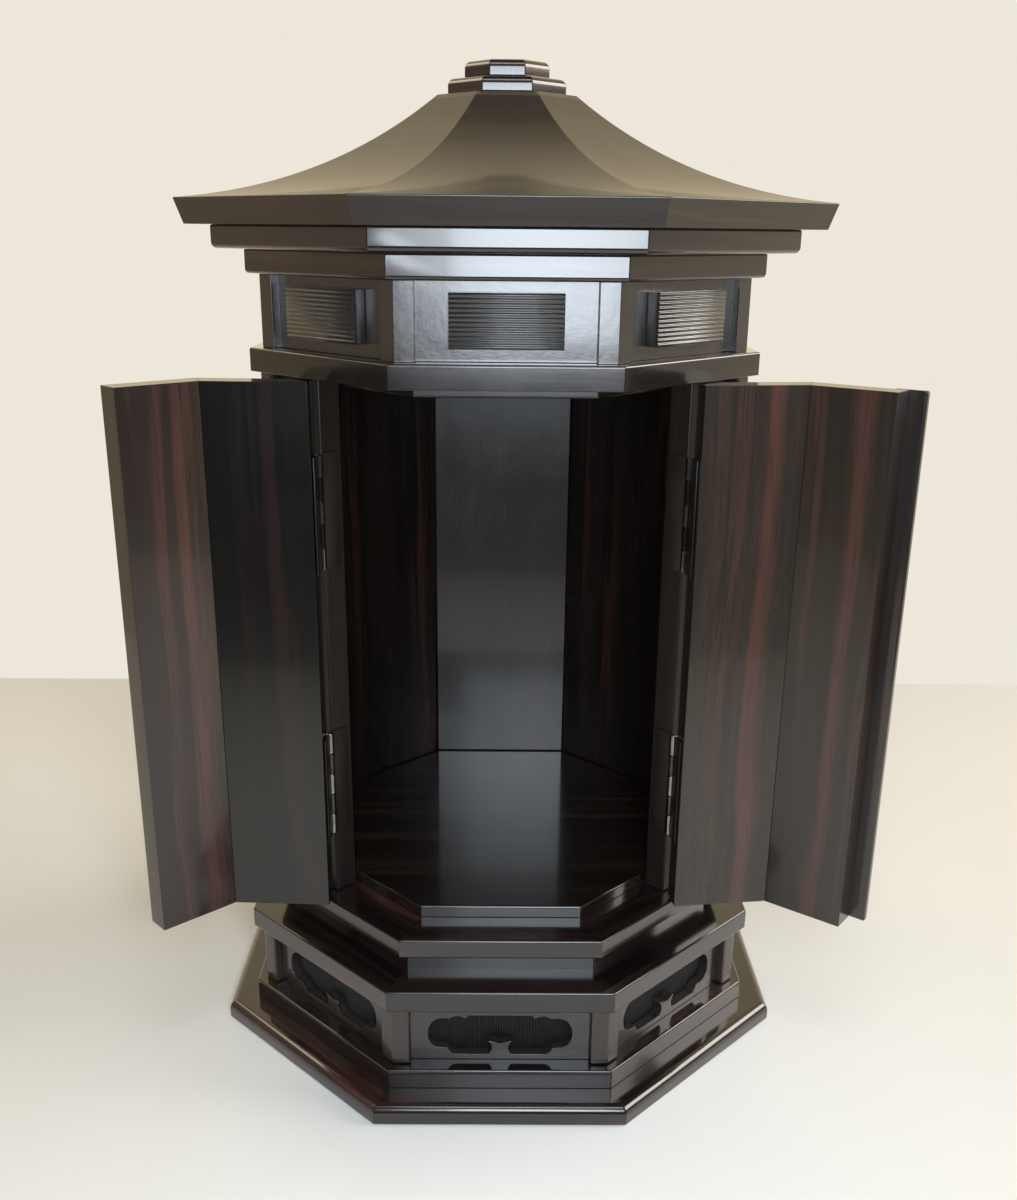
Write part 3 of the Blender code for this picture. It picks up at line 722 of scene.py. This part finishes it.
def dress_cabinet():
    """Make every piece in its own finish."""
    moulding = ebony("lacquered_moulding", grain_around, (0.006, 0.004, 0.004), (0.020, 0.012, 0.010),
                     (0.058, 0.021, 0.017), streaks=0.85, roughness=0.17, polish=0.8)
    eaves = ebony("lacquered_roof", grain_around, (0.019, 0.014, 0.011), (0.032, 0.023, 0.017),
                  (0.045, 0.026, 0.020), streaks=0.5, roughness=0.34, polish=0.35)
    post = ebony("lacquered_post", grain_upright, (0.020, 0.013, 0.012), (0.038, 0.024, 0.019),
                 (0.050, 0.028, 0.022), streaks=0.35, roughness=0.26, polish=0.6)
    panel = black_lacquer("brushed_lacquer_panel", (0.020, 0.015, 0.014), roughness=0.24, polish=0.7,
                          peel=0.13, dust=0.25, brushed=0.035)
    ribs = black_lacquer("black_ribbed_block", (0.010, 0.009, 0.009), roughness=0.27, polish=0.9,
                         peel=0.03, dust=0.1)
    reeds = black_lacquer("black_reeded_backing", (0.005, 0.0045, 0.0045), roughness=0.55, polish=0.0,
                          peel=0.1, dust=0.15)
    wall = ebony("ebony_wall", grain_upright, (0.004, 0.003, 0.0025), (0.010, 0.0065, 0.005),
                 (0.030, 0.011, 0.008), streaks=0.8, roughness=0.26, polish=0.4, shift=0.13)
    floor = ebony("ebony_floor", grain_crosswise, (0.007, 0.005, 0.004), (0.016, 0.011, 0.008),
                  (0.040, 0.017, 0.012), streaks=0.8, roughness=0.2, polish=1.0)
    for (word, part), (dark, brown, red, shift, veins) in DOOR_WOODS_AND_SHADE.items():
        name = f"ebony_{word}_{part}_board"
        wood = ebony(name, grain_of_door(word, part), dark, brown, red, streaks=0.45, roughness=0.24,
                     polish=0.4, shift=shift, veins=veins)
        door_board(word, part, wood)
    strip = ebony("ebony_cover_strip", grain_upright, (0.014, 0.011, 0.010), (0.030, 0.020, 0.017),
                  (0.050, 0.025, 0.020), streaks=0.6, roughness=0.24, polish=0.6, shift=0.2)
    rounded("right_door_astragal", strip, seat=0)
    steel = hinge_steel("nickelled_knuckle_steel", (0.27, 0.26, 0.24), (0.18, 0.17, 0.15), roughness=0.08)
    worn = hinge_steel("worn_knuckle_steel", (0.07, 0.065, 0.06), (0.05, 0.045, 0.04), roughness=0.12)
    plate = black_lacquer("lacquered_hinge_plate", (0.011, 0.008, 0.007), roughness=0.38, polish=0.0,
                          peel=0.04, dust=0.1, ior=PLATE_IOR)

    board("base_plate", moulding, top_round=BASE_PLATE_ROUND, ease=BASE_PLATE_CORNER)
    for node in ("base_step", "cornice_board"):
        board(node, moulding, bottom_round=CRISP_EASE)
    board("plinth_rail", moulding)
    board("frieze_cap", moulding, bottom_round=CAP_ROUND)
    sill("sill_board", moulding)
    board("floor_board", floor, bottom_round=CRISP_EASE)
    board("ceiling_board", wall)
    board("eave_board", moulding, bottom_round=EAVE_BOARD_ROUND)
    roof("roof", eaves)
    board("finial_lower", moulding, top_round=FINIAL_ROUND)
    board("finial_upper", moulding, top_round=FINIAL_ROUND)
    rounded("frieze", panel)
    for side in range(8):
        plinth_panel(side, panel)
        rounded(f"plinth_post_{SIDE_NAMES[side]}_to_{SIDE_NAMES[(side + 1) % 8]}", post)
    reeded_backing("plinth_backing", reeds)
    for side in PIERCED:
        ribbed_block(side, ribs)
    for side in WALLED:
        rounded(f"wall_{SIDE_NAMES[side]}", wall, side=side, reach=(WALL_REACH, WALL_REACH))
    jamb = ebony("ebony_jamb", grain_upright, (0.008, 0.006, 0.005), (0.016, 0.011, 0.009),
                 (0.030, 0.014, 0.011), streaks=0.6, roughness=0.36, polish=0.0, shift=0.4, ior=DULL_IOR)
    rounded("door_jamb_left", jamb, side=FRONT_LEFT, reach=(WALL_REACH, 0))
    rounded("door_jamb_right", jamb, side=FRONT_RIGHT, reach=(0, WALL_REACH))
    for side in POSTED:
        rounded(f"body_post_{SIDE_NAMES[side]}_to_{SIDE_NAMES[(side + 1) % 8]}", post)
    for word in ("left", "right"):
        for level in ("lower", "upper"):
            hinge_leaf(word, level, False, plate, steel)
            hinge_leaf(word, level, True, plate, worn)


def lay_floor():
    """A plain pale floor."""
    cage = bmesh.new()
    left, right, front, back = FLOOR_EDGES
    corners = ((left, front), (right, front), (right, back), (left, back))
    cage.faces.new([cage.verts.new((x, y, 0)) for x, y in corners])
    ground = bpy.data.objects.new("floor", mesh_of("floor", cage))
    ground.location.z = -FLOOR_DROP
    bpy.context.scene.collection.objects.link(ground)
    finish = new_finish("pale_floor")
    where = finish.place()
    tone = finish.colour(finish.noise(where, 6.0, 2.0), (0.90, 0.89, 0.865), (0.94, 0.93, 0.905))
    finish.set(Base_Color=tone, Roughness=0.7)
    ground.data.materials.append(finish.owner)


def soft_panel(name, place, target, width, height, glow, colour, shape="RECTANGLE"):
    """A soft light panel that faces the cabinet, as bright as its glow all over."""
    light = bpy.data.lights.new(name, "AREA")
    light.shape = shape
    light.size = width
    light.size_y = height
    area = width * height * (math.pi / 4 if shape == "ELLIPSE" else 1)
    light.energy = glow * math.pi * area
    light.color = colour
    lamp = bpy.data.objects.new(name, light)
    lamp.location = place
    lamp.rotation_euler = (Vector(target) - Vector(place)).to_track_quat("-Z", "Y").to_euler()
    lamp.visible_camera = False
    bpy.context.scene.collection.objects.link(lamp)


def light_cabinet():
    """A cool soft light beside the camera, panels above and at the sides, and warm light all round."""
    for pane, (across, level, width, height, glow, shape) in NEAR_LIGHT.items():
        place = (across, -NEAR_LIGHT_DISTANCE, level)
        target = (across, 0, level)
        soft_panel(f"front_light_{pane}", place, target, width, height, glow, NEAR_LIGHT_COLOUR, shape)
    soft_panel("high_panel", (0.05, -0.50, 1.05), (0.02, -0.30, 0), width=0.35, height=0.3, glow=3.7,
               colour=(0.95, 0.97, 1.0))
    soft_panel("left_panel", (-0.95, 0.35, 1.2), (-0.45, 0.1, 0), width=0.5, height=0.5, glow=3.7,
               colour=(1.0, 0.85, 0.64))
    soft_panel("right_panel", (1.7, 0.1, 1.1), (0, 0, 0.25), width=1.1, height=0.8, glow=8.0,
               colour=(1.0, 0.95, 0.87))
    world = bpy.data.worlds.new("soft_studio")
    bpy.context.scene.world = world
    surround = Finish(world, "Background")
    x, y, z = surround.node("ShaderNodeTexCoord", {}, output=0).parts()
    sides = surround.colour(x.ramp(-0.8, 0.8), (0.44, 0.35, 0.23), (0.74, 0.65, 0.48))
    warm = surround.colour(y.ramp(0.45, 0.95), sides, (0.98, 0.82, 0.55))
    ring = surround.colour(y.ramp(-0.55, 0.35), (0.09, 0.09, 0.09), warm)
    above = surround.colour(y.ramp(-0.10, 0.50), (0.20, 0.20, 0.19), (0.76, 0.63, 0.40))
    arch = surround.colour(z.ramp(0.10, 0.45), ring, above)
    dome = surround.colour(z.ramp(0.70, 0.97), arch, (0.07, 0.075, 0.06))
    # What the camera sees past the floor is one plain tone; only light and reflections come from the dome.
    seen = surround.node("ShaderNodeLightPath", {})
    surround.set(Color=surround.colour(seen, dome, (0.85, 0.80, 0.71)), Strength=1.0)


def set_camera():
    """The photograph's view: a little above the cabinet and almost straight in front."""
    data = bpy.data.cameras.new("view")
    data.sensor_width = SENSOR_WIDTH
    data.lens = LENS
    data.shift_x, data.shift_y = LENS_SHIFT
    data.clip_start = 0.01
    data.dof.use_dof = False
    camera = bpy.data.objects.new("view", data)
    forward = HEADING * math.cos(PITCH) - Vector((0, 0, math.sin(PITCH)))
    level = HEADING.cross(Vector((0, 0, 1)))
    upward = level.cross(forward)
    right = level * math.cos(ROLL) + upward * math.sin(ROLL)
    head = upward * math.cos(ROLL) - level * math.sin(ROLL)
    turn = Matrix((right, head, -forward)).transposed().to_4x4()
    camera.matrix_world = Matrix.Translation(EYE) @ turn
    bpy.context.scene.collection.objects.link(camera)
    bpy.context.scene.camera = camera
    bpy.context.scene.view_settings.view_transform = "Standard"


BODY_OF = {node: body for body, nodes in frame["record"]["behaviour"]["bodies"].items() for node in nodes}

set_camera()
dress_cabinet()
lay_floor()
light_cabinet()
